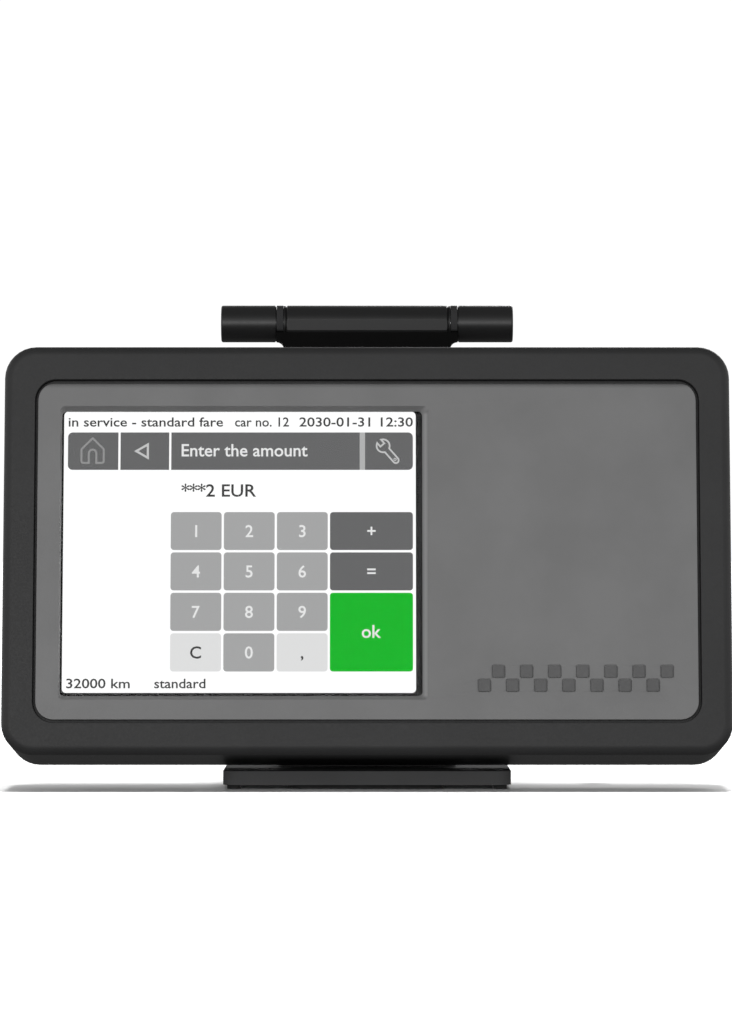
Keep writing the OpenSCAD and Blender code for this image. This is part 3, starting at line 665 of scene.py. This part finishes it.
def icons():
    """House, arrow head and spanner on the tool keys."""
    middle = BAR_TOP + BAR_H / 2
    tip, tail, half = 18.2, 21.1, 1.7
    faint = Layer("home_icon", lit("picture_faint", FAINT), SIGN_LEVEL)
    faint.outline(home_icon(HOME_X, middle), 0.5)
    faint.done()
    pale = Layer("tool_icons", lit("picture_icon", ICON), SIGN_LEVEL)
    pale.outline([(tip, middle), (tail, middle - half), (tail, middle + half)], 0.55)
    pale.outline(spanner_icon(SPANNER_X, middle - SPANNER_UP), 0.42)
    handle_x, handle_down = SPANNER_X + 3.0, middle + 2.1
    pale.outline(arc(handle_x, handle_down, 0.3, 0, 360, 8)[:-1], 0.2)
    pale.done()


def label(layer, text, column, row, key_w=KEY_W):
    """A sign in the middle of a key of the keypad."""
    x, top = key_place(column, row)
    layer.words(text, x + key_w / 2, top + KEY_H / 2 + DIGIT_CAP / 2, DIGIT_CAP, middle=True)


def lettering():
    """Plain words and numbers, in place of the ones that the device showed."""
    dark = Layer("dark_lettering", lit("picture_ink", INK), SIGN_LEVEL)
    for line in DARK_LINES:
        dark.words(*line)
    label(dark, "C", 0, 3)
    label(dark, ",", 2, 3)
    dark.done()
    light = Layer("light_lettering", lit("picture_pale", PALE), SIGN_LEVEL)
    light.words(*PROMPT)
    for number in range(1, 10):
        label(light, str(number), (number - 1) % 3, (number - 1) // 3)
    label(light, "0", 1, 3)
    for row, sign in enumerate("+="):
        label(light, sign, 3, row, WIDE_KEY)
    x, top = key_place(3, 2)
    light.words("ok", x + WIDE_KEY / 2, top + (ROW + KEY_H) / 2 + OK_DROP, OK_CAP, middle=True)
    light.done()


background()
toolbar()
keypad()
icons()
lettering()


# ---------------------------------------------------------------- floor, light and camera

GROUND_HALF = 25.0
FLOOR_WHITE = (0.84, 0.84, 0.84)
# The tent's brightness above and below the horizon: between these two heights (as a sine),
# it fades from the third number to the fourth.
TENT_FADE = (0.2, 0.8, 1.05, 0.14)
BELOW_FADE = (-0.16, 0.0, 0.14, 1.0)


def ground():
    """Flat pale floor out to the horizon, which throws no light back onto the object."""
    look = Look("ground_white", FLOOR_WHITE, 0.5)
    look.tint(look.noise(3, 2), FLOOR_WHITE, 0.99, 1.01)
    mesh = bmesh.new()
    corners = [(-1, -1), (1, -1), (1, 1), (-1, 1)]
    mesh.faces.new([mesh.verts.new((x * GROUND_HALF, y * GROUND_HALF, 0.0)) for x, y in corners])
    data = bpy.data.meshes.new("ground")
    mesh.to_mesh(data)
    mesh.free()
    data.materials.append(look.mat)
    obj = bpy.data.objects.new("ground", data)
    bpy.context.scene.collection.objects.link(obj)
    obj.visible_diffuse = False
    obj.visible_glossy = False
    return obj


def area_light(name, place, aim, size, watts):
    """Soft rectangular lamp that points at a place."""
    light = bpy.data.lights.new(name, "AREA")
    light.shape = "RECTANGLE"
    light.size, light.size_y = size
    light.energy = watts
    obj = bpy.data.objects.new(name, light)
    obj.location = place
    obj.rotation_mode = "QUATERNION"
    obj.rotation_quaternion = (Vector(place) - Vector(aim)).to_track_quat("Z", "Y")
    bpy.context.scene.collection.objects.link(obj)


def floor_light(floor, strength, height, spread):
    """Distant soft light from above that falls on the floor only, to keep it white."""
    light = bpy.data.lights.new("floor_light", "SUN")
    light.energy = strength
    light.angle = math.radians(spread)
    obj = bpy.data.objects.new("floor_light", light)
    obj.rotation_euler = (math.radians(90 - height), 0, 0)
    only_floor = bpy.data.collections.new("only_floor")
    only_floor.objects.link(floor)
    obj.light_linking.receiver_collection = only_floor
    bpy.context.scene.collection.objects.link(obj)


def world():
    """Studio tent: white round the horizon, darker towards the top and below."""
    sky = bpy.data.worlds.new("studio")
    sky.use_nodes = True
    nodes, links = sky.node_tree.nodes, sky.node_tree.links
    place = nodes.new("ShaderNodeTexCoord")
    split = nodes.new("ShaderNodeSeparateXYZ")
    both = nodes.new("ShaderNodeMath")
    both.operation = "MULTIPLY"
    links.new(place.outputs["Generated"], split.inputs["Vector"])
    for input_at, numbers in enumerate((TENT_FADE, BELOW_FADE)):
        fade = nodes.new("ShaderNodeMapRange")
        fade.interpolation_type = "SMOOTHSTEP"
        for socket, value in zip(("From Min", "From Max", "To Min", "To Max"), numbers):
            fade.inputs[socket].default_value = value
        links.new(split.outputs["Z"], fade.inputs["Value"])
        links.new(fade.outputs["Result"], both.inputs[input_at])
    links.new(both.outputs["Value"], nodes["Background"].inputs["Strength"])
    nodes["Background"].inputs["Color"].default_value = (1, 1, 1, 1)
    bpy.context.scene.world = sky


def camera(distance, elevation, frame_height, shift):
    """Looks level at the case's front face, from in front of it."""
    low, high = case_box("front_housing")
    face = CASE_AXES @ Vector((0, low.y, (low.z + high.z) / 2))
    tilt = math.radians(elevation)
    data = bpy.data.cameras.new("camera")
    data.lens = data.sensor_width * distance / frame_height
    data.shift_x, data.shift_y = shift
    data.clip_start, data.clip_end = 0.05, 20
    obj = bpy.data.objects.new("camera", data)
    back = Vector((0, -math.cos(tilt), math.sin(tilt)))
    obj.location = face + back * distance
    obj.rotation_mode = "QUATERNION"
    obj.rotation_quaternion = back.to_track_quat("Z", "Y")
    bpy.context.scene.collection.objects.link(obj)
    bpy.context.scene.camera = obj


floor = ground()
world()
middle = (cad_box[0] + cad_box[1]) / 2
area_light("front_light", place=(-0.2, -1.65, 0.3), aim=middle, size=(0.9, 0.2), watts=4.7)
area_light("back_light", place=(0.5, 1.5, 0.8), aim=middle, size=(0.9, 0.3), watts=5.0)
floor_light(floor, strength=4.6, height=92, spread=14)
camera(distance=1.1, elevation=0.0, frame_height=0.256, shift=(-0.001, 0.0358))
bpy.context.scene.view_settings.view_transform = "Standard"
